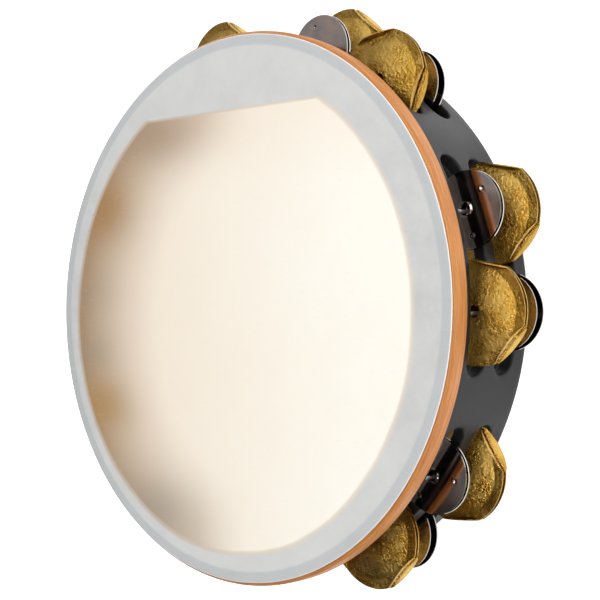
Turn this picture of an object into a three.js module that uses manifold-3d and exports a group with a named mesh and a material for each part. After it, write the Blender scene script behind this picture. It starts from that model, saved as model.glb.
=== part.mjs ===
// Double-row orchestral tambourine, 10 inch: a skin head glued over the front edge of a wooden
// shell, a bare beech band round that edge, and 20 pairs of loose jingles on 10 steel pins.
// Millimetres. The drum's axis is +Z and points out of the head, and the tambourine lies on the
// open rear rim of its shell. Heights below are measured from that rim; the last step lowers the
// whole drum so that the origin is the centre of the playing face.
import * as THREE from "three";
import { mergeVertices } from "three/addons/utils/BufferGeometryUtils.js";
import Module from "manifold-3d";

const wasm = await Module();
wasm.setup();

// ---- driving dimensions ----
const GAP = 0.3;                 // clearance between pieces that touch or are glued together

const HEAD_TOP = 57.6;           // height of the playing face above the rear rim
const SKIN_THICKNESS = 0.6;
const SKIN_RADIUS = 125.4;

const BAND_RADIUS = 127;         // 10 inch over the beech band
const BAND_BOTTOM = 49.2;
const BAND_CHAMFER = 1.6;

const SHELL_OUTER = 123.5;
const SHELL_INNER = 117.5;
const WOOD_TOP = HEAD_TOP - SKIN_THICKNESS - GAP;

const SLOT_WIDTH = 12.4;
const SLOT_HALF_ANGLE = 22.2;    // degrees from the middle of a slot to its end
// Azimuth of the middle of each slot, clockwise as seen from the head. The plain grip lies between
// the third and the fourth.
const SLOT_AZIMUTHS = [64.8, 9.3, -45.7, 173, 115.1];
const ROW_HEIGHT = { front: 35.3, rear: 15.5 };   // middles of the slots; front is next to the head

const PIN_CIRCLE = 121.3;        // radius on which the jingle pins stand
const PIN_HALF_PITCH = 10.1;     // degrees from a slot's middle to each of its two pins
const PIN_RADIUS = 0.9;
const PIN_BOTTOM = 0.4;          // the pins are sunk a little into the rear rim
const PIN_TOP = 45.5;            // and end in the solid wood beyond the front slots

const LAP_THICKNESS = 0.5;       // the turned-in edge of the skin, bonded behind the head
const LAP_OPENING = { x: -4, y: -3, radius: 108.5, straightEdge: 90.6 };

const PLATE_HOLE = 2.6;
const PLATE_HANG = { x: 1.0, y: 0.8 };   // every plate hangs this far off its pin's axis
const DARK_RADIUS = 16.5;
const DARK_HEIGHT = 2.3;
const GOLD_RADIUS = 22.4;
const GOLD_HEIGHT = 3.8;
const FOLD_DISTANCE = 19.3;      // from a gold plate's centre to each folded edge
const FOLD_THICKNESS = 0.7;
const FOLDS = 3;

const RING_SIDES = 72;
const DARK_SIDES = 12;
const GOLD_SIDES = 15;
const SLOT_END_SIDES = 12;
const PIN_SIDES = 6;
const SLOT_ARC_STEPS = 6;
const FLAP_ARC_STEPS = 2;
const OVERSHOOT = 6;             // how far a cutter passes beyond the faces that it cuts

// Cross-sections of the two kinds of plate: [radius, height above the rim plane].
const DARK_PROFILE = [
  [PLATE_HOLE, 1.6], [10, 1.1], [DARK_RADIUS, 0],
  [DARK_RADIUS, 0.6], [10, 1.8], [PLATE_HOLE, DARK_HEIGHT],
];
const GOLD_PROFILE = [
  [PLATE_HOLE, 3.1], [15, 0.7], [GOLD_RADIUS, 0],
  [GOLD_RADIUS, 0.7], [15, 1.4], [PLATE_HOLE, GOLD_HEIGHT],
];

// How each kind of pair hangs in its slot: heights of its two rim planes from the slot's middle.
const REST = {
  front: { dark: { upper: -2.0, lower: -3.2 }, gold: { upper: -0.4, lower: -1.6 } },
  rear: { dark: { upper: 1.4, lower: -3.0 }, gold: { upper: 0.0, lower: -1.6 } },
};
// Azimuth of a fold of each station's gold plates, from the outward radius.
const FOLD_TURN = [-25, 45, 60, -41, 69, 14, 10, 80, 35, -50];

const radians = THREE.MathUtils.degToRad;

// Two stations to a slot. In each row dark and gold pairs take turns, and the pair behind a dark
// one is gold.
const stations = FOLD_TURN.map((foldTurn, index) => {
  const firstOfGroup = index % 2 === 0;
  return {
    label: String(index + 1).padStart(2, "0"),
    azimuth: SLOT_AZIMUTHS[Math.floor(index / 2)] + (firstOfGroup ? PIN_HALF_PITCH : -PIN_HALF_PITCH),
    metal: { front: firstOfGroup ? "dark" : "gold", rear: firstOfGroup ? "gold" : "dark" },
    foldTurn,
  };
});

// ---- solids ----
function solidOf(geometry) {
  const bare = geometry.clone();
  bare.deleteAttribute("normal");
  bare.deleteAttribute("uv");
  const merged = mergeVertices(bare, 1e-4);
  return new wasm.Manifold(new wasm.Mesh({
    numProp: 3,
    vertProperties: new Float32Array(merged.attributes.position.array),
    triVerts: new Uint32Array(merged.index.array),
  }));
}

function geometryOf(solid) {
  const mesh = solid.getMesh();
  const geometry = new THREE.BufferGeometry();
  geometry.setAttribute("position", new THREE.BufferAttribute(mesh.vertProperties, 3));
  geometry.setIndex(new THREE.BufferAttribute(mesh.triVerts, 1));
  geometry.computeVertexNormals();
  return geometry;
}

// A profile of [radius, height] points, listed anticlockwise and closed on itself, turned about +Z.
function turned(profile, sides) {
  const outline = [...profile, profile[0]].map(([radius, height]) => new THREE.Vector2(radius, height));
  return new THREE.LatheGeometry(outline, sides).rotateX(Math.PI / 2);
}

function rod(radius, bottom, top, sides) {
  const cylinder = new THREE.CylinderGeometry(radius, radius, top - bottom, sides);
  return cylinder.rotateX(Math.PI / 2).translate(0, 0, (top + bottom) / 2);
}

// A slot's cutter: a sector of a thick ring, with a radial cylinder at each end.
function slotCutter(azimuth, height) {
  const straight = SLOT_HALF_ANGLE - THREE.MathUtils.radToDeg(SLOT_WIDTH / 2 / SHELL_OUTER);
  const near = SHELL_INNER - OVERSHOOT;
  const far = SHELL_OUTER + OVERSHOOT;
  const sector = new THREE.Shape();
  sector.absarc(0, 0, far, radians(-straight), radians(straight), false);
  sector.absarc(0, 0, near, radians(straight), radians(-straight), true);
  sector.closePath();
  const middle = new THREE.ExtrudeGeometry(sector, {
    depth: SLOT_WIDTH, bevelEnabled: false, curveSegments: SLOT_ARC_STEPS,
  });
  middle.translate(0, 0, height - SLOT_WIDTH / 2);
  let cutter = solidOf(middle);
  for (const side of [-1, 1]) {
    const end = rod(SLOT_WIDTH / 2, near, far, SLOT_END_SIDES);
    end.rotateY(Math.PI / 2).translate(0, 0, height);
    cutter = cutter.add(solidOf(end.rotateZ(radians(side * straight))));
  }
  return cutter.rotate([0, 0, azimuth]);
}

function shellGeometry() {
  const wall = [
    [SHELL_INNER, WOOD_TOP], [SHELL_INNER, 0], [SHELL_OUTER, 0], [SHELL_OUTER, WOOD_TOP],
  ];
  let shell = solidOf(turned(wall, RING_SIDES));
  for (const azimuth of SLOT_AZIMUTHS) {
    for (const height of Object.values(ROW_HEIGHT)) {
      shell = shell.subtract(slotCutter(azimuth, height));
    }
  }
  for (const station of stations) {
    const hole = rod(PIN_RADIUS + GAP, -OVERSHOOT, PIN_TOP + GAP, PIN_SIDES);
    hole.translate(PIN_CIRCLE, 0, 0);
    shell = shell.subtract(solidOf(hole.rotateZ(radians(station.azimuth))));
  }
  return geometryOf(shell);
}

function bandGeometry() {
  const inner = SHELL_OUTER + GAP;
  return turned([
    [inner, WOOD_TOP], [inner, BAND_BOTTOM], [BAND_RADIUS, BAND_BOTTOM],
    [BAND_RADIUS, WOOD_TOP - BAND_CHAMFER], [BAND_RADIUS - BAND_CHAMFER, WOOD_TOP],
  ], RING_SIDES);
}

// The lap lies under the head, inside the shell. Its opening is round, with one straight edge.
function lapGeometry() {
  const top = WOOD_TOP;
  const lap = solidOf(rod(SHELL_INNER - GAP, top - LAP_THICKNESS, top, RING_SIDES));
  const round = rod(LAP_OPENING.radius, top - OVERSHOOT, top + OVERSHOOT, RING_SIDES);
  round.translate(LAP_OPENING.x, LAP_OPENING.y, 0);
  const keep = new THREE.BoxGeometry(4 * BAND_RADIUS, 2 * BAND_RADIUS, 3 * OVERSHOOT);
  keep.translate(0, LAP_OPENING.straightEdge - BAND_RADIUS, top);
  return geometryOf(lap.subtract(solidOf(round).intersect(solidOf(keep))));
}

// A gold plate's rim is folded away from its mate along three chords, 120 degrees apart.
function goldPlateGeometry(foldTurn) {
  let plate = solidOf(turned(GOLD_PROFILE, GOLD_SIDES));
  const sagitta = GOLD_RADIUS - FOLD_DISTANCE;
  const halfChord = Math.sqrt(GOLD_RADIUS ** 2 - FOLD_DISTANCE ** 2);
  const outline = new THREE.Shape();
  outline.moveTo(-halfChord, 0);
  outline.quadraticCurveTo(0, 2 * sagitta + 2 * FOLD_THICKNESS, halfChord, 0);
  outline.closePath();
  for (let fold = 0; fold < FOLDS; fold += 1) {
    const azimuth = radians(foldTurn + fold * 360 / FOLDS);
    const waste = new THREE.BoxGeometry(OVERSHOOT, 4 * halfChord, 3 * OVERSHOOT);
    waste.translate(FOLD_DISTANCE + OVERSHOOT / 2, 0, 0);
    const flap = new THREE.ExtrudeGeometry(outline, {
      depth: FOLD_THICKNESS, bevelEnabled: false, curveSegments: FLAP_ARC_STEPS,
    });
    flap.rotateX(Math.PI / 2).rotateZ(Math.PI / 2).translate(FOLD_DISTANCE - FOLD_THICKNESS, 0, 0);
    plate = plate.subtract(solidOf(waste.rotateZ(azimuth))).add(solidOf(flap.rotateZ(azimuth)));
  }
  return geometryOf(plate);
}

// ---- materials ----
function finish(color, roughness, metalness) {
  return new THREE.MeshStandardMaterial({ color, roughness, metalness });
}
const SKIN = finish(0xf4ecdd, 0.55, 0);
const LAP_SKIN = finish(0xd6d6d4, 0.6, 0);
const BEECH = finish(0xd79a68, 0.5, 0);
const BLACK_LACQUER = finish(0x2b2b2d, 0.35, 0);
const STEEL = finish(0x8a8c90, 0.3, 1);
const PLATE_METAL = {
  dark: finish(0x3c3a3c, 0.15, 1),
  gold: finish(0xc99a3c, 0.3, 1),
};

// ---- assembly ----
const tambourine = new THREE.Group();

function addPiece(name, geometry, material) {
  const mesh = new THREE.Mesh(geometry, material);
  mesh.name = name;
  tambourine.add(mesh);
  return mesh;
}

addPiece("shell", shellGeometry(), BLACK_LACQUER);
addPiece("wood_band", bandGeometry(), BEECH);
addPiece("skin_head", rod(SKIN_RADIUS, HEAD_TOP - SKIN_THICKNESS, HEAD_TOP, RING_SIDES), SKIN);
addPiece("skin_lap", lapGeometry(), LAP_SKIN);

for (const station of stations) {
  const turn = radians(station.azimuth);
  const place = new THREE.Group();
  place.rotation.z = turn;
  tambourine.add(place);
  const hang = new THREE.Vector2(PLATE_HANG.x, PLATE_HANG.y).rotateAround(new THREE.Vector2(), -turn);
  const pin = addPiece(`pin_${station.label}`, rod(PIN_RADIUS, PIN_BOTTOM, PIN_TOP, PIN_SIDES), STEEL);
  pin.position.x = PIN_CIRCLE;
  place.add(pin);
  for (const row of ["front", "rear"]) {
    const metal = station.metal[row];
    for (const side of ["upper", "lower"]) {
      const geometry = metal === "dark"
        ? turned(DARK_PROFILE, DARK_SIDES)
        : goldPlateGeometry(side === "upper" ? station.foldTurn : -station.foldTurn);
      const name = `jingle_${station.label}_${row}_${side}`;
      const plate = addPiece(name, geometry, PLATE_METAL[metal]);
      const rimHeight = ROW_HEIGHT[row] + REST[row][metal][side];
      plate.position.set(PIN_CIRCLE + hang.x, hang.y, rimHeight);
      // The lower plate of a pair is the same piece, turned over to face its mate.
      plate.rotation.x = side === "upper" ? 0 : Math.PI;
      place.add(plate);
    }
  }
}

tambourine.position.z = -HEAD_TOP;

export default tambourine;
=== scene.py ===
"""Looks for the double-row tambourine: skin head, beech band, black shell, pins and 40 jingle plates.

Metres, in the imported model's frame: the origin is the centre of the playing face, +Z points out
of the head, and the drum lies on its open rear rim.
"""
import math

import bmesh
import bpy
from mathutils import Matrix, Vector, noise


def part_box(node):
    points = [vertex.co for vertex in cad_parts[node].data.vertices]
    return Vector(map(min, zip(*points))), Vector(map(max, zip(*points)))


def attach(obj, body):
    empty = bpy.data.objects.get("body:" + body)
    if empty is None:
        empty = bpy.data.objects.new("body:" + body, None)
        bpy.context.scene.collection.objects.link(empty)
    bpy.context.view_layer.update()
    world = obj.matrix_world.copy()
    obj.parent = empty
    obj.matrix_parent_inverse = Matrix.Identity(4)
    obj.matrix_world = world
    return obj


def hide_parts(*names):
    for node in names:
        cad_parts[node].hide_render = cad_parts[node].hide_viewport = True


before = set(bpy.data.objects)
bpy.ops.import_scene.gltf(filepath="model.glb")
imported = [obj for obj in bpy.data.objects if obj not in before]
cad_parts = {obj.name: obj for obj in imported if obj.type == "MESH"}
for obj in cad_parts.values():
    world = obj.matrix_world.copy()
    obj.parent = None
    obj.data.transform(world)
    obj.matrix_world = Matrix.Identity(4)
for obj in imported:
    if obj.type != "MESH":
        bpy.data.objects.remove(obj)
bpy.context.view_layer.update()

MM = 0.001

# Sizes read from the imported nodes.
SHELL_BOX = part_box("shell")
RIM_Z = SHELL_BOX[0][2]
SHELL_OUTER = SHELL_BOX[1][0]
SHELL_TOP = SHELL_BOX[1][2]
BAND_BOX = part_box("wood_band")
BAND_OUTER = BAND_BOX[1][0]
SKIN_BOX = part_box("skin_head")
SKIN_RADIUS = SKIN_BOX[1][0]

# The shell's wall, which is bent from a flat strip and closed at a seam in the grip.
WALL = 6.0 * MM
SHELL_INNER = SHELL_OUTER - WALL
WALL_ROUNDING = 0.9 * MM
WALL_LENGTHS = 180               # how many short lengths the strip is cut into, to be bent
STRIP_SPARE = 1.02               # the strip starts this much too long and is trimmed at the seam
SLOT_WIDTH = 12.4 * MM
SLOT_HALF_ANGLE = math.radians(22.2)
SLOT_AZIMUTHS = [64.8, 9.3, -45.7, 173, 115.1]
GRIP_AZIMUTH = -116.35           # the middle of the plain stretch of wall
ROW_Z = [RIM_Z + 35.3 * MM, RIM_Z + 15.5 * MM]
WELD_DISTANCE = 1e-6
PLANE_TOLERANCE = 1e-7

# The beech band and the edge of the skin.
BAND_GAP = 0.3 * MM
BAND_CHAMFER_WIDTH = 1.4 * MM
BAND_CHAMFER_HEIGHT = 1.2 * MM
BAND_ROUNDING = 0.6 * MM
SKIN_EDGE_WIDTH = 0.5 * MM
SKIN_EDGE_HEIGHT = 0.35 * MM
ROUND_SIDES = 288

# The lap behind the head: its opening is round, with one straight edge.
LAP_CENTRE = (-4 * MM, -3 * MM)
LAP_RADIUS = 108.5 * MM
LAP_STRAIGHT_EDGE = 90.6 * MM
MARGIN_BLUR = 330.0              # how fast the skin turns grey across the opening's edge, per metre
STRAIGHT_BLUR = 600.0            # the same, across the straight edge
# Painted shade on the skin's outer bevel: its width and how fast it darkens, per metre.
BEVEL_WIDTH = 5.5 * MM
BEVEL_BLUR = 900.0
# A painted highlight along the skin's outer edge: its width and how fast it brightens, per metre.
EDGE_HIGHLIGHT_WIDTH = 0.55 * MM
EDGE_HIGHLIGHT_BLUR = 4000.0
# Painted shade on the shell below the band: how far below the band's lower edge it starts, and how fast it
# darkens, per metre.
BAND_SHADE_WIDTH = 2.2 * MM
BAND_SHADE_BLUR = 2500.0

# The wall's broad shadow through the skin darkens with the distance from this centre.
SHADE_CENTRE = (30 * MM, -5 * MM)
SHADE_START = 80 * MM
SHADE_WIDTH = 60 * MM
SHADE_COLOUR = (0.41, 0.275, 0.165)

# Smaller shadows seen through the skin: centre, half size, strength and colour.
SKIN_SHADOWS = [
    ((-0.096, 0.050), (0.030, 0.022), 0.85, (0.39, 0.21, 0.07)),
    ((-0.055, 0.084), (0.046, 0.018), 0.75, (0.38, 0.26, 0.17)),
    ((-0.106, 0.008), (0.024, 0.014), 0.30, (0.36, 0.27, 0.19)),
    ((-0.102, -0.024), (0.024, 0.014), 0.40, (0.33, 0.26, 0.19)),
    ((-0.094, -0.050), (0.028, 0.017), 0.85, (0.43, 0.25, 0.08)),
    ((-0.052, -0.098), (0.044, 0.020), 0.60, (0.31, 0.27, 0.21)),
]
SHADOW_FALLOFF = 1.6

# Pins, two in every slot, and the turn of each pin's folded plates in degrees.
PIN_CIRCLE = 121.3 * MM
PIN_HALF_PITCH = 10.1            # degrees from a slot's middle to either of its pins
PIN_SIDES = 20
PIN_PROFILE = [(0.0, 0.4), (0.5, 0.42), (0.85, 0.7), (0.9, 1.1), (0.9, 45.0), (0.6, 45.4), (0.0, 45.5)]
FOLD_TURN = [-25, 45, 60, -41, 69, 14, 10, 80, 35, -50]

# Plates. They hang off their pins' axes by PLATE_HANG.
PLATE_HANG = (1.0 * MM, 0.8 * MM, 0.0)
PLATE_THICKNESS = 0.5 * MM
HOLE = 2.6 * MM
DARK_RADIUS = 16.5 * MM
DARK_FOOT = 0.55 * MM            # the plates' top face at the rim, above the foot of the plate
DARK_CROWN = 1.25 * MM
DARK_SPOKES = 144
LIP_HEIGHT = 0.45 * MM
LIP_WIDTH = 0.55 * MM
DIMPLE_COUNT = 3
DIMPLE_START = 28                # degrees
DIMPLE_CIRCLE = 11.4 * MM
DIMPLE_DEPTH = 0.55 * MM
DIMPLE_WIDTH = 0.55 * MM
DIMPLE_RING_HEIGHT = 0.10 * MM   # the burr raised round each dimple
DIMPLE_RING_RADIUS = 1.2 * MM
DIMPLE_RING_WIDTH = 0.35 * MM
GOLD_KINDS = 4
GOLD_RADIUS = 22.4 * MM
GOLD_SPOKES = 168
GOLD_FOOT = 0.6 * MM
DOME_RADIUS = 18.3 * MM
DOME_CROWN = 2.7 * MM
DENT_SIZE = 2.1 * MM
DENT_DEPTH = 0.34 * MM
FLANGE_WAVE = 0.3 * MM
FLANGE_WAVE_SIZE = 11 * MM
SEED_STEP = 13 * MM              # how far apart the plates' dents lie in the noise
WAVE_SEED_STEP = 20 * MM
FOLD_COUNT = 3
FOLD_DISTANCE = 19.3 * MM
FOLD_BOW = 0.75 * MM             # how far a crease bows in towards the dome
FOLD_ANGLE = math.radians(78)
FOLD_RADIUS = 0.9 * MM

# The studio. Every light points at the origin.
AREA_LIGHTS = [
    # name, place, size and power
    ("key", (0.9, -0.7, 1.3), (0.5, 0.5), 11),
    ("side", (1.1, 0.9, 0.35), (0.35, 0.9), 4),
    ("top", (0.45, 0.55, 1.5), (1.0, 1.0), 13),
]
FLOOR_RADIUS = 40.0
FLOOR_SIDES = 128
CAMERA_PLACE = (0.4158, -0.0025, 0.4004)
CAMERA_RIGHT = (0.7327, 0.0102, -0.6805)
CAMERA_BACK = (0.6806, -0.0109, 0.7326)
CAMERA_LENS = 75
CAMERA_SENSOR = 36


# ---------------------------------------------------------------- meshes
def new_object(name, data):
    obj = bpy.data.objects.new(name, data)
    bpy.context.scene.collection.objects.link(obj)
    return obj


def mesh_of(bm, name, smooth_angle=None):
    """Turns a bmesh into a smooth mesh, with edges sharper than smooth_angle kept sharp."""
    bmesh.ops.recalc_face_normals(bm, faces=bm.faces)
    for face in bm.faces:
        face.smooth = True
    if smooth_angle is not None:
        for edge in bm.edges:
            if len(edge.link_faces) == 2 and edge.calc_face_angle() > smooth_angle:
                edge.smooth = False
    mesh = bpy.data.meshes.new(name)
    bm.to_mesh(mesh)
    bm.free()
    return mesh


def rounded(corners, radius, steps=5):
    """A closed polygon of (radius, height) corners with each corner rounded."""
    points = []
    count = len(corners)
    for i, corner in enumerate(corners):
        here = Vector(corner)
        to_last = Vector(corners[i - 1]) - here
        to_next = Vector(corners[(i + 1) % count]) - here
        reach = min(radius, 0.45 * to_last.length, 0.45 * to_next.length)
        start = here + to_last.normalized() * reach
        end = here + to_next.normalized() * reach
        for step in range(steps + 1):
            t = step / steps
            points.append((1 - t) ** 2 * start + 2 * t * (1 - t) * here + t ** 2 * end)
    return [(p.x, p.y) for p in points]


def revolved(name, profile, sides, closed=True, smooth_angle=None):
    """A (radius, height) profile turned about Z. A closed one gives a ring."""
    bm = bmesh.new()
    rings = []
    for radius, height in profile:
        if radius < WELD_DISTANCE:
            rings.append([bm.verts.new((0, 0, height))])
            continue
        rings.append([
            bm.verts.new((radius * math.cos(a), radius * math.sin(a), height))
            for a in (2 * math.pi * k / sides for k in range(sides))
        ])
    pairs = list(zip(rings, rings[1:]))
    if closed:
        pairs.append((rings[-1], rings[0]))
    for lower, upper in pairs:
        for k in range(sides):
            n = (k + 1) % sides
            if len(lower) == 1:
                bm.faces.new((lower[0], upper[k], upper[n]))
            elif len(upper) == 1:
                bm.faces.new((lower[k], lower[n], upper[0]))
            else:
                bm.faces.new((lower[k], lower[n], upper[n], upper[k]))
    return mesh_of(bm, name, smooth_angle)


def smooth_step(t):
    t = min(max(t, 0.0), 1.0)
    return t * t * (3 - 2 * t)


# ---------------------------------------------------------------- shader nodes
def material(name, plain_colour, roughness, metallic=0.0):
    """A Principled material of plain values. Textures linked to a socket take its value's place."""
    mat = bpy.data.materials.new(name)
    mat.use_nodes = True
    tree = mat.node_tree
    shader = tree.nodes["Principled BSDF"]
    shader.inputs["Base Color"].default_value = (*plain_colour, 1)
    shader.inputs["Roughness"].default_value = roughness
    shader.inputs["Metallic"].default_value = metallic
    return mat, tree, shader


def feed(tree, socket, value):
    """Links an output to a socket, or sets a plain number or colour on it."""
    if isinstance(value, (int, float)):
        socket.default_value = value
    elif isinstance(value, tuple):
        socket.default_value = (*value, 1)
    else:
        tree.links.new(value, socket)


def finish(tree, shader, colour, roughness):
    tree.links.new(colour, shader.inputs["Base Color"])
    tree.links.new(roughness, shader.inputs["Roughness"])


def noise_node(tree, vector, scale, detail=4.0, roughness=0.55):
    made = tree.nodes.new("ShaderNodeTexNoise")
    made.inputs["Scale"].default_value = scale
    made.inputs["Detail"].default_value = detail
    made.inputs["Roughness"].default_value = roughness
    tree.links.new(vector, made.inputs["Vector"])
    return made.outputs["Fac"]


def math_node(tree, operation, a, b=None, c=None, clamp=False):
    made = tree.nodes.new("ShaderNodeMath")
    made.operation = operation
    made.use_clamp = clamp
    for socket, value in zip(made.inputs, (a, b, c)):
        if value is not None:
            feed(tree, socket, value)
    return made.outputs[0]


def product(tree, a, b, clamp=False):
    return math_node(tree, "MULTIPLY", a, b, clamp=clamp)


def total(tree, a, b, clamp=False):
    return math_node(tree, "ADD", a, b, clamp=clamp)


def rising(tree, value, start, slope):
    """0 up to start, and from there rising at slope to 1. A negative slope rises downwards."""
    return math_node(tree, "MULTIPLY_ADD", value, slope, -slope * start, clamp=True)


def ramp(tree, factor, *stops):
    """A colour ramp of (position, colour) stops."""
    made = tree.nodes.new("ShaderNodeValToRGB")
    elements = made.color_ramp.elements
    while len(elements) < len(stops):
        elements.new(0.5)
    for element, (position, colour) in zip(elements, stops):
        element.position = position
        element.color = (*colour, 1)
    tree.links.new(factor, made.inputs["Fac"])
    return made.outputs["Color"]


def grey_ramp(tree, factor, *stops):
    return ramp(tree, factor, *((p, (v, v, v)) for p, v in stops))


def mix_colour(tree, factor, a, b):
    made = tree.nodes.new("ShaderNodeMix")
    made.data_type = "RGBA"
    colour_a, colour_b = (socket for socket in made.inputs if socket.type == "RGBA")
    feed(tree, made.inputs["Factor"], factor)
    feed(tree, colour_a, a)
    feed(tree, colour_b, b)
    return next(socket for socket in made.outputs if socket.type == "RGBA")


def bump(tree, shader, height, strength, distance):
    made = tree.nodes.new("ShaderNodeBump")
    made.inputs["Strength"].default_value = strength
    made.inputs["Distance"].default_value = distance
    tree.links.new(height, made.inputs["Height"])
    tree.links.new(made.outputs["Normal"], shader.inputs["Normal"])


def object_coords(tree):
    return tree.nodes.new("ShaderNodeTexCoord").outputs["Object"]


def separate(tree, vector):
    made = tree.nodes.new("ShaderNodeSeparateXYZ")
    tree.links.new(vector, made.inputs[0])
    return made.outputs


def combine(tree, x, y, z):
    made = tree.nodes.new("ShaderNodeCombineXYZ")
    for socket, value in zip(made.inputs, (x, y, z)):
        feed(tree, socket, value)
    return made.outputs[0]


def sum_of_squares(tree, a, b):
    return total(tree, product(tree, a, a), product(tree, b, b))


def distance_from(tree, x, y, centre=(0, 0)):
    """Distance in the XY plane from a centre."""
    dx = total(tree, x, -centre[0])
    dy = total(tree, y, -centre[1])
    return math_node(tree, "SQRT", sum_of_squares(tree, dx, dy))


def round_coords(tree, radius, along, across):
    """Coordinates on a ring, for a grain: the length round the axis, the height and the depth."""
    x, y, z = separate(tree, object_coords(tree))[:3]
    turn = math_node(tree, "ARCTAN2", y, x)
    length = product(tree, turn, radius * along)
    height = product(tree, z, across)
    depth = product(tree, distance_from(tree, x, y), across)
    return combine(tree, length, height, depth)


def blot(tree, x, y, centre, half_size):
    """1 in the middle of a soft oval patch, falling to 0 round it."""
    across = math_node(tree, "MULTIPLY_ADD", x, 1 / half_size[0], -centre[0] / half_size[0])
    along = math_node(tree, "MULTIPLY_ADD", y, 1 / half_size[1], -centre[1] / half_size[1])
    away = sum_of_squares(tree, across, along)
    return math_node(tree, "EXPONENT", product(tree, away, -SHADOW_FALLOFF))


# ---------------------------------------------------------------- materials
def beech_material():
    mat, tree, shader = material("beech", (0.55, 0.27, 0.11), 0.5)
    grain = noise_node(tree, round_coords(tree, BAND_OUTER, 60, 1400), 1.0, 6.0, 0.6)
    broad = noise_node(tree, round_coords(tree, BAND_OUTER, 14, 220), 1.0, 3.0)
    flecks = noise_node(tree, round_coords(tree, BAND_OUTER, 500, 2600), 1.0, 2.0)
    colour = ramp(tree, grain, (0.3, (0.34, 0.11, 0.02)), (0.55, (0.50, 0.19, 0.037)),
                  (0.8, (0.61, 0.27, 0.07)))
    tone = grey_ramp(tree, broad, (0.35, 0.0), (0.7, 0.45))
    colour = mix_colour(tree, tone, colour, (0.44, 0.17, 0.05))
    fleck = grey_ramp(tree, flecks, (0.60, 0.0), (0.72, 0.4))
    colour = mix_colour(tree, fleck, colour, (0.27, 0.10, 0.035))
    finish(tree, shader, colour, grey_ramp(tree, grain, (0.3, 0.6), (0.8, 0.48)))
    bump(tree, shader, grain, 0.25, 0.4 * MM)
    return mat


def lacquer_material():
    """Black lacquer over a faint grain, with a dull black line of painted shade along the band's lower
    edge, where the band overhangs the shell.
    """
    mat, tree, shader = material("black_lacquer", (0.016, 0.016, 0.018), 0.4)
    coords = object_coords(tree)
    cloud = noise_node(tree, coords, 40.0, 4.0)
    orange_peel = noise_node(tree, coords, 900.0, 2.0)
    grain = noise_node(tree, round_coords(tree, SHELL_OUTER, 30, 900), 1.0, 4.0)
    colour = ramp(tree, cloud, (0.3, (0.007, 0.007, 0.008)), (0.7, (0.013, 0.013, 0.0145)))
    height = separate(tree, coords)[2]
    # Painted shade: near black and dull just below the band, where the band overhangs the shell.
    band_shade = rising(tree, height, BAND_BOX[0][2] - BAND_SHADE_WIDTH, BAND_SHADE_BLUR)
    colour = mix_colour(tree, band_shade, colour, (0.001, 0.001, 0.001))
    gloss = grey_ramp(tree, cloud, (0.3, 0.36), (0.7, 0.48))
    finish(tree, shader, colour, total(tree, gloss, band_shade, clamp=True))
    shader.inputs["Specular IOR Level"].default_value = 0.2
    bump(tree, shader, total(tree, product(tree, grain, 0.6), orange_peel), 0.12, 0.2 * MM)
    return mat


def cream_colour(tree, x, y, cloud):
    """The skin over the open drum: its own cream, brightened by painted light shining through from behind,
    with the painted brown shadows of the wall and jingles behind it.
    """
    # Painted shade: the cream turns tan towards -X, the side where the wall's shadow shows through the
    # skin.
    left_shade = rising(tree, x, 73.1 * MM, -5.2)
    cream = mix_colour(tree, left_shade, (0.985, 0.945, 0.855), (0.90, 0.755, 0.59))
    patches = grey_ramp(tree, cloud, (0.35, 0.0), (0.7, 0.35))
    cream = mix_colour(tree, patches, cream, (0.93, 0.82, 0.68))
    # Painted shade towards +Y, below the lap's straight edge.
    top_shade = rising(tree, y, 53.6 * MM, 14.0)
    cream = mix_colour(tree, product(tree, top_shade, 0.55), cream, (0.86, 0.69, 0.53))

    reach = distance_from(tree, x, y, SHADE_CENTRE)
    shade = math_node(tree, "POWER", rising(tree, reach, SHADE_START, 1 / SHADE_WIDTH), 1.3)
    shadow_side = rising(tree, x, 13.3 * MM, -30.0)
    cream = mix_colour(tree, product(tree, shade, shadow_side), cream, SHADE_COLOUR)
    unevenness = grey_ramp(tree, cloud, (0.2, 0.75), (0.7, 1.0))
    for centre, half_size, strength, colour in SKIN_SHADOWS:
        shadow = product(tree, blot(tree, x, y, centre, half_size), strength)
        cream = mix_colour(tree, product(tree, shadow, unevenness), cream, colour)
    return cream


def margin_colour(tree, y, reach, fibres):
    """The skin over its turned-in lap: grey, paler towards +Y and -Y, darker on the outer bevel with
    painted shade.
    """
    grey = ramp(tree, fibres, (0.3, (0.54, 0.54, 0.53)), (0.7, (0.65, 0.65, 0.635)))
    ends = product(tree, math_node(tree, "ABSOLUTE", y), 7.5, clamp=True)
    grey = mix_colour(tree, product(tree, ends, 0.6), grey, (0.71, 0.71, 0.69))
    # Painted shade: the outer bevel turns a darker, bluish grey.
    bevel = rising(tree, reach, SKIN_RADIUS - BEVEL_WIDTH, BEVEL_BLUR)
    return mix_colour(tree, product(tree, bevel, 0.5), grey, (0.42, 0.445, 0.465))


def lap_margin(tree, coords, x, y):
    """1 where the lap lies behind the skin and 0 over its opening, with a slightly wandering edge."""
    wander = math_node(tree, "MULTIPLY_ADD", noise_node(tree, coords, 18.0, 5.0), 3 * MM, -1.5 * MM)
    reach = total(tree, distance_from(tree, x, y, LAP_CENTRE), wander)
    outside = rising(tree, reach, LAP_RADIUS, MARGIN_BLUR)
    above = rising(tree, y, LAP_STRAIGHT_EDGE, STRAIGHT_BLUR)
    return math_node(tree, "MAXIMUM", outside, above)


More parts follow.
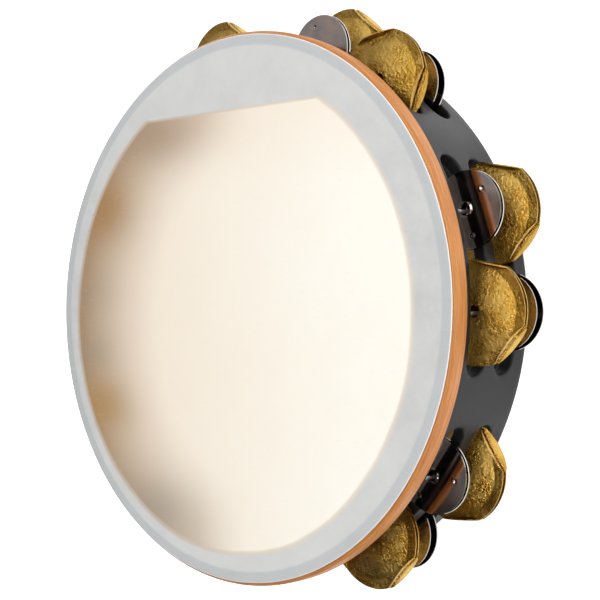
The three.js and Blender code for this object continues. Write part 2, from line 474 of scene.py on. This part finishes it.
def skin_material():
    """Translucent calfskin, coloured by painted light and shadows from what lies behind it, with pores and
    short hair threads.
    """
    mat, tree, shader = material("head_skin", (0.9, 0.84, 0.7), 0.55)
    coords = object_coords(tree)
    x, y = separate(tree, coords)[:2]
    reach = distance_from(tree, x, y)
    margin = lap_margin(tree, coords, x, y)
    fibres = noise_node(tree, coords, 60.0, 8.0, 0.7)
    cloud = noise_node(tree, coords, 11.0, 4.0)
    pores = noise_node(tree, coords, 1500.0, 2.0)
    streaks = combine(tree, product(tree, x, 160.0), product(tree, y, 900.0), 0.0)
    hairs = noise_node(tree, streaks, 1.0, 4.0)

    cream = cream_colour(tree, x, y, cloud)
    # Painted light: over the opening the skin takes the bright cream of light shining through it, and over
    # the lap the grey.
    colour = mix_colour(tree, margin, cream, margin_colour(tree, y, reach, fibres))
    lip = product(tree, margin, math_node(tree, "SUBTRACT", 1.0, margin))
    colour = mix_colour(tree, product(tree, lip, 1.4, clamp=True), colour, (0.62, 0.46, 0.33))
    speck = grey_ramp(tree, pores, (0.70, 0.0), (0.78, 0.25))
    colour = mix_colour(tree, speck, colour, (0.55, 0.42, 0.28))
    thread = grey_ramp(tree, hairs, (0.60, 0.0), (0.72, 0.14))
    colour = mix_colour(tree, thread, colour, (0.74, 0.68, 0.60))
    # Painted highlight: a pale line along the skin's outer edge.
    edge_highlight = rising(tree, reach, SKIN_RADIUS - EDGE_HIGHLIGHT_WIDTH, EDGE_HIGHLIGHT_BLUR)
    colour = mix_colour(tree, edge_highlight, colour, (0.74, 0.72, 0.69))

    finish(tree, shader, colour, grey_ramp(tree, fibres, (0.3, 0.5), (0.7, 0.66)))
    shader.inputs["Subsurface Weight"].default_value = 0.15
    shader.inputs["Subsurface Radius"].default_value = (4 * MM, 3 * MM, 2 * MM)
    bump(tree, shader, total(tree, fibres, product(tree, pores, 0.4)), 0.2, 0.3 * MM)
    return mat


def lap_material():
    mat, tree, shader = material("lap_skin", (0.72, 0.73, 0.72), 0.6)
    fibres = noise_node(tree, object_coords(tree), 70.0, 8.0, 0.7)
    colour = ramp(tree, fibres, (0.3, (0.58, 0.57, 0.53)), (0.7, (0.74, 0.72, 0.67)))
    tree.links.new(colour, shader.inputs["Base Color"])
    bump(tree, shader, fibres, 0.3, 0.3 * MM)
    return mat


def dark_metal():
    """Polished dark nickel with faint turning rings and a paler outer rim."""
    mat, tree, shader = material("dark_nickel", (0.3, 0.25, 0.23), 0.08, 1.0)
    coords = object_coords(tree)
    haze = noise_node(tree, coords, 110.0, 4.0)
    x, y = separate(tree, coords)[:2]
    reach = distance_from(tree, x, y)
    rings = noise_node(tree, combine(tree, product(tree, reach, 3000.0), 0.0, 0.0), 1.0, 2.0)
    colour = ramp(tree, haze, (0.3, (0.22, 0.20, 0.20)), (0.5, (0.30, 0.25, 0.23)),
                  (0.7, (0.38, 0.29, 0.24)))
    edge = rising(tree, reach, DARK_RADIUS - 0.5 * MM, 2500.0)
    colour = mix_colour(tree, edge, colour, (0.50, 0.49, 0.48))
    finish(tree, shader, colour, grey_ramp(tree, haze, (0.3, 0.05), (0.7, 0.13)))
    bump(tree, shader, rings, 0.06, 0.1 * MM)
    return mat


def gold_metal():
    """Hammered brass, darker where it is tarnished."""
    mat, tree, shader = material("hammered_brass", (0.42, 0.26, 0.07), 0.3, 1.0)
    coords = object_coords(tree)
    tarnish = noise_node(tree, coords, 90.0, 5.0, 0.6)
    fine = noise_node(tree, coords, 900.0, 3.0)
    scratch = noise_node(tree, coords, 2500.0, 2.0)
    colour = ramp(tree, tarnish, (0.25, (0.27, 0.135, 0.018)), (0.5, (0.45, 0.265, 0.05)),
                  (0.8, (0.66, 0.44, 0.12)))
    finish(tree, shader, colour, grey_ramp(tree, tarnish, (0.3, 0.18), (0.7, 0.32)))
    bump(tree, shader, total(tree, fine, product(tree, scratch, 0.4)), 0.7, 0.6 * MM)
    return mat


def steel_metal():
    mat, tree, shader = material("pin_steel", (0.45, 0.45, 0.47), 0.3, 1.0)
    haze = noise_node(tree, object_coords(tree), 700.0, 3.0)
    tree.links.new(grey_ramp(tree, haze, (0.3, 0.22), (0.7, 0.42)), shader.inputs["Roughness"])
    return mat


# ---------------------------------------------------------------- shell
def slot_outline(centre, middle_z, half_length, radius, steps=14):
    """Points round a round-ended slot in the flat strip."""
    points = []
    for side in (1, -1):
        for step in range(steps + 1):
            a = -math.pi / 2 + math.pi * step / steps
            points.append((centre + side * (half_length - radius + radius * math.cos(a)),
                           middle_z + side * radius * math.sin(a)))
    return points


def add_outline(flat, points):
    """Adds a closed outline of straight lines to a flat curve."""
    spline = flat.splines.new("POLY")
    spline.points.add(len(points) - 1)
    for point, (u, v) in zip(spline.points, points):
        point.co = (u, v, 0, 1)
    spline.use_cyclic_u = True


def flat_wall(middle, seam):
    """The wall as a flat strip along X with its height along Y, and its slots and rounded edges."""
    flat = bpy.data.curves.new("shell_flat", "CURVE")
    flat.dimensions = "2D"
    flat.fill_mode = "BOTH"
    flat.extrude = WALL / 2 - WALL_ROUNDING
    flat.bevel_depth = WALL_ROUNDING
    flat.bevel_resolution = 3
    flat.offset = -WALL_ROUNDING
    end = math.pi * middle * STRIP_SPARE
    add_outline(flat, [(-end, RIM_Z), (end, RIM_Z), (end, SHELL_TOP), (-end, SHELL_TOP)])
    for azimuth in SLOT_AZIMUTHS:
        turn = (math.radians(azimuth) - seam) % (2 * math.pi) - math.pi
        for z in ROW_Z:
            add_outline(flat, slot_outline(turn * middle, z, SLOT_HALF_ANGLE * middle, SLOT_WIDTH / 2))
    holder = new_object("shell_flat", flat)
    evaluated = holder.evaluated_get(bpy.context.evaluated_depsgraph_get())
    mesh = bpy.data.meshes.new_from_object(evaluated)
    bpy.data.objects.remove(holder)
    bm = bmesh.new()
    bm.from_mesh(mesh)
    bpy.data.meshes.remove(mesh)
    bmesh.ops.remove_doubles(bm, verts=bm.verts, dist=WELD_DISTANCE)
    return bm


def cut_across(bm, x, side=1, trim=False):
    """Cuts a flat strip across at x. Trimming drops what is beyond x on that side."""
    everything = bm.verts[:] + bm.edges[:] + bm.faces[:]
    bmesh.ops.bisect_plane(bm, geom=everything, dist=PLANE_TOLERANCE, plane_co=(x, 0, 0),
                           plane_no=(side, 0, 0), clear_outer=trim)


def shell_mesh():
    """The shell's wall: a flat strip, cut across into short lengths and bent into a ring."""
    middle = (SHELL_OUTER + SHELL_INNER) / 2
    seam = math.radians(GRIP_AZIMUTH)
    half = math.pi * middle
    bm = flat_wall(middle, seam)
    for side in (1, -1):
        cut_across(bm, side * half, side, trim=True)
    for k in range(1, WALL_LENGTHS):
        cut_across(bm, -half + 2 * half * k / WALL_LENGTHS)
    for vert in bm.verts:
        turn = vert.co.x / middle + seam + math.pi
        reach = middle + vert.co.z
        vert.co = Vector((reach * math.cos(turn), reach * math.sin(turn), vert.co.y))
    bmesh.ops.remove_doubles(bm, verts=bm.verts, dist=WELD_DISTANCE)
    return mesh_of(bm, "shell_wall", math.radians(40))


# ---------------------------------------------------------------- plates
def evenly(first, last, steps):
    """The radii from first to last in equal steps, without first itself."""
    return [first + (last - first) * (k + 1) / steps for k in range(steps)]


def plate_mesh(name, height, radii, spokes, bend=None):
    """A thin dished plate: a polar sheet lifted by height(radius, angle), then given a thickness."""
    bm = bmesh.new()
    rings = []
    for radius in radii:
        row = []
        for k in range(spokes):
            a = 2 * math.pi * k / spokes
            point = Vector((radius * math.cos(a), radius * math.sin(a), height(radius, a)))
            row.append(bm.verts.new(bend(point) if bend else point))
        rings.append(row)
    for inner, outer in zip(rings, rings[1:]):
        for k in range(spokes):
            n = (k + 1) % spokes
            bm.faces.new((inner[k], outer[k], outer[n], inner[n]))
    bmesh.ops.recalc_face_normals(bm, faces=bm.faces)
    if sum(face.normal.z for face in bm.faces) < 0:
        bmesh.ops.reverse_faces(bm, faces=bm.faces)
    bm.normal_update()
    lower = {vert: vert.co - vert.normal * PLATE_THICKNESS for vert in bm.verts}
    top_faces = bm.faces[:]
    under = {vert: bm.verts.new(place) for vert, place in lower.items()}
    for face in top_faces:
        bm.faces.new([under[vert] for vert in reversed(face.verts)])
    for row, flip in ((rings[0], False), (rings[-1], True)):
        for k in range(spokes):
            n = (k + 1) % spokes
            loop = [row[k], row[n], under[row[n]], under[row[k]]]
            bm.faces.new(loop[::-1] if flip else loop)
    return mesh_of(bm, name, math.radians(50))


def bell(distance, width):
    """1 at distance 0, falling smoothly to 0 over about two widths."""
    return math.exp(-(distance / width) ** 2)


def dark_plate():
    """Shallow polished dish with a raised lip at its hole and three small dimples."""
    dimple_angles = [math.radians(DIMPLE_START + 360 / DIMPLE_COUNT * k) for k in range(DIMPLE_COUNT)]
    dimples = [(DIMPLE_CIRCLE * math.cos(a), DIMPLE_CIRCLE * math.sin(a)) for a in dimple_angles]

    def height(radius, angle):
        share = radius / DARK_RADIUS
        z = DARK_FOOT + DARK_CROWN * (1 - share ** 2.2)
        z += LIP_HEIGHT * bell(radius - HOLE, LIP_WIDTH)
        x, y = radius * math.cos(angle), radius * math.sin(angle)
        for dx, dy in dimples:
            away = math.hypot(x - dx, y - dy)
            z -= DIMPLE_DEPTH * bell(away, DIMPLE_WIDTH)
            z += DIMPLE_RING_HEIGHT * bell(away - DIMPLE_RING_RADIUS, DIMPLE_RING_WIDTH)
        return z

    lip_radii = [HOLE + 0.25 * MM * k for k in range(8)]
    radii = lip_radii + evenly(lip_radii[-1], DARK_RADIUS, 38)
    return plate_mesh("dark_plate", height, radii, DARK_SPOKES)


def fold_edges(point):
    """Turns a plate's rim segments up along creases that bow in towards its dome."""
    half_chord = math.sqrt(GOLD_RADIUS ** 2 - FOLD_DISTANCE ** 2)
    for k in range(FOLD_COUNT):
        fold = 2 * math.pi * k / FOLD_COUNT
        out = Vector((math.cos(fold), math.sin(fold), 0))
        across = out.cross(Vector((0, 0, 1)))
        share = min(abs(point.dot(across)) / half_chord, 1.0)
        crease = FOLD_DISTANCE - FOLD_BOW * (1 - share ** 2)
        past = point.dot(out) - crease
        if past <= 0:
            continue
        turn = min(past / FOLD_RADIUS, FOLD_ANGLE)
        rest = max(past - FOLD_RADIUS * FOLD_ANGLE, 0.0)
        along = FOLD_RADIUS * math.sin(turn) + rest * math.cos(FOLD_ANGLE)
        up = FOLD_RADIUS * (1 - math.cos(turn)) + rest * math.sin(FOLD_ANGLE)
        return point + out * (along - past) + Vector((0, 0, up))
    return point


def gold_plate(seed):
    """Hammered dome in a flat, slightly wavy flange with three folded edges."""
    def height(radius, angle):
        share = min(radius / DOME_RADIUS, 1.0)
        z = GOLD_FOOT + DOME_CROWN * (1 - share ** 2)
        x, y = radius * math.cos(angle), radius * math.sin(angle)
        near = noise.voronoi(Vector((x, y, SEED_STEP * seed)) / DENT_SIZE)[0]
        dent = min((near[1] - near[0]) * 0.5, 0.45)
        flange = smooth_step((radius - DOME_RADIUS) / MM)
        z += DENT_DEPTH * (1 - flange * 0.8) * (dent - 0.2)
        wave = noise.noise(Vector((x, y, WAVE_SEED_STEP * seed)) / FLANGE_WAVE_SIZE)
        return z + FLANGE_WAVE * wave * smooth_step(radius / DOME_RADIUS)

    dome_radii = [HOLE + 0.45 * MM * k for k in range(34)]
    radii = dome_radii + evenly(dome_radii[-1], GOLD_RADIUS, 16)
    return plate_mesh(f"gold_plate_{seed}", height, radii, GOLD_SPOKES, fold_edges)


# ---------------------------------------------------------------- building the drum
def place(piece, mat, body, slot, *nodes):
    piece.data.materials.clear()
    piece.data.materials.append(mat)
    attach(piece, body)
    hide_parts(*nodes)


def build_shell():
    shell = new_object("lacquered_shell", shell_mesh())
    place(shell, lacquer_material(), "drum", "black_lacquer", "shell")


def build_band():
    inner = SHELL_OUTER + BAND_GAP
    low, high = BAND_BOX[0][2], BAND_BOX[1][2]
    corners = [
        (inner, low),
        (BAND_OUTER, low),
        (BAND_OUTER, high - BAND_CHAMFER_HEIGHT),
        (BAND_OUTER - BAND_CHAMFER_WIDTH, high),
        (inner, high),
    ]
    profile = rounded(corners, BAND_ROUNDING)
    mesh = revolved("beech_band", profile, ROUND_SIDES, True, math.radians(50))
    place(new_object("beech_band", mesh), beech_material(), "drum", "beech", "wood_band")


def build_head():
    low, high = SKIN_BOX[0][2], SKIN_BOX[1][2]
    underside = [(0, low), (SKIN_RADIUS * 0.5, low), (SKIN_RADIUS - 0.4 * MM, low)]
    edge = [(SKIN_RADIUS - SKIN_EDGE_WIDTH * (1 - math.cos(a)), high - SKIN_EDGE_HEIGHT * (1 - math.sin(a)))
            for a in (math.radians(d) for d in range(0, 91, 15))]
    face = [(SKIN_RADIUS * share, high) for share in (0.96, 0.9, 0.75, 0.5, 0.25)] + [(0, high)]
    mesh = revolved("calfskin_head", underside + edge + face, ROUND_SIDES, False, math.radians(60))
    head = new_object("calfskin_head", mesh)
    place(head, skin_material(), "drum", "head_skin", "skin_head")


def finish_lap():
    """The lap keeps its CAD shape and gets its own material."""
    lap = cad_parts["skin_lap"]
    lap.data.materials.clear()
    lap.data.materials.append(lap_material())


def plate_pose(name, station, upper, turn):
    """A plate's pose at rest: its foot is on the side of its mate, so a lower plate is turned over."""
    low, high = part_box(name)
    foot = low[2] if upper else high[2]
    flip = Matrix.Identity(4) if upper else Matrix.Rotation(math.pi, 4, "X")
    rest = Matrix.Translation(PLATE_HANG) @ station @ Matrix.Translation((0, 0, foot))
    return rest @ flip @ Matrix.Rotation(turn, 4, "Z")


def build_jingles():
    """Ten pins, each with a gold pair in one row and a dark pair in the other, by turns."""
    dark_mesh, dark_mat = dark_plate(), dark_metal()
    gold_meshes, gold_mat = [gold_plate(seed) for seed in range(GOLD_KINDS)], gold_metal()
    pin_profile = [(radius * MM, height * MM) for radius, height in PIN_PROFILE]
    pin_mesh, steel = revolved("pin", pin_profile, PIN_SIDES, False, math.radians(50)), steel_metal()
    for index, fold_turn in enumerate(FOLD_TURN):
        label = f"{index + 1:02d}"
        first = index % 2 == 0
        offset = PIN_HALF_PITCH if first else -PIN_HALF_PITCH
        azimuth = math.radians(SLOT_AZIMUTHS[index // 2] + offset)
        station = Matrix.Rotation(azimuth, 4, "Z") @ Matrix.Translation((PIN_CIRCLE, 0, 0))
        pin = new_object(f"wire_pin_{label}", pin_mesh)
        pin.matrix_world = station @ Matrix.Translation((0, 0, RIM_Z))
        place(pin, steel, "drum", "pin_steel", f"pin_{label}")
        for row, row_step in (("front", 0), ("rear", 2)):
            gold = first == (row == "rear")
            for side, side_step in (("upper", 0), ("lower", 1)):
                name = f"jingle_{label}_{row}_{side}"
                upper = side == "upper"
                turn = math.radians(fold_turn if upper else -fold_turn) if gold else 0.0
                kind = (index * 3 + side_step + row_step) % GOLD_KINDS
                plate = new_object(f"plate_{label}_{row}_{side}", gold_meshes[kind] if gold else dark_mesh)
                plate.matrix_world = plate_pose(name, station, upper, turn)
                if gold:
                    place(plate, gold_mat, name, "gold_plate", name)
                else:
                    place(plate, dark_mat, name, "dark_plate", name)


# ---------------------------------------------------------------- studio
def build_floor():
    """A pale floor with a hole under the shell, so that the drum's open rear shows from below."""
    hole = (SHELL_INNER + SHELL_OUTER) / 2
    profile = [(hole, RIM_Z), (FLOOR_RADIUS, RIM_Z)]
    floor = new_object("floor", revolved("floor", profile, FLOOR_SIDES, False))
    mat, _, shader = material("floor_white", (0.93, 0.93, 0.93), 0.9)
    shader.inputs["Emission Color"].default_value = (1, 1, 1, 1)
    shader.inputs["Emission Strength"].default_value = 0.8
    floor.data.materials.append(mat)


def build_lights():
    for name, location, size, power in AREA_LIGHTS:
        data = bpy.data.lights.new(name, "AREA")
        data.shape = "RECTANGLE"
        data.size, data.size_y = size
        data.energy = power
        light = new_object(name, data)
        light.location = location
        light.rotation_euler = (-Vector(location)).to_track_quat("-Z", "Y").to_euler()


def build_world():
    """A studio of grey bands from straight down to straight up, with a pale screen on the +Y side."""
    world = bpy.data.worlds.new("studio")
    bpy.context.scene.world = world
    world.use_nodes = True
    tree = world.node_tree
    side, height = separate(tree, tree.nodes.new("ShaderNodeTexCoord").outputs["Generated"])[1:3]
    rise = math_node(tree, "MULTIPLY_ADD", height, 0.5, 0.5)     # 0 straight down, 1 straight up
    sky = grey_ramp(
        tree, rise,
        (0.04, 0.9), (0.06, 0.02),                  # a pale spot straight down
        (0.21, 0.02), (0.25, 0.9),                  # dark, then the pale floor further out
        (0.45, 0.9), (0.56, 0.06),                  # dark walls above the horizon
        (0.84, 0.035), (0.92, 0.12), (0.965, 0.4),  # a lighter ceiling straight up
    )
    screen = grey_ramp(tree, side, (0.16, 0.0), (0.24, 0.85))
    sky = mix_colour(tree, screen, sky, (0.95, 0.97, 1.0))
    tree.links.new(sky, tree.nodes["Background"].inputs["Color"])
    tree.nodes["Background"].inputs["Strength"].default_value = 0.8
    bpy.context.scene.view_settings.view_transform = "Standard"


def build_camera():
    data = bpy.data.cameras.new("camera")
    data.lens = CAMERA_LENS
    data.sensor_width = CAMERA_SENSOR
    camera = new_object("camera", data)
    right = Vector(CAMERA_RIGHT).normalized()
    back = Vector(CAMERA_BACK).normalized()
    up = back.cross(right).normalized()
    right = up.cross(back)
    turn = Matrix((right, up, back)).transposed().to_4x4()
    camera.matrix_world = Matrix.Translation(CAMERA_PLACE) @ turn
    bpy.context.scene.camera = camera


build_camera()
build_shell()
build_band()
build_head()
finish_lap()
build_jingles()
build_floor()
build_lights()
build_world()
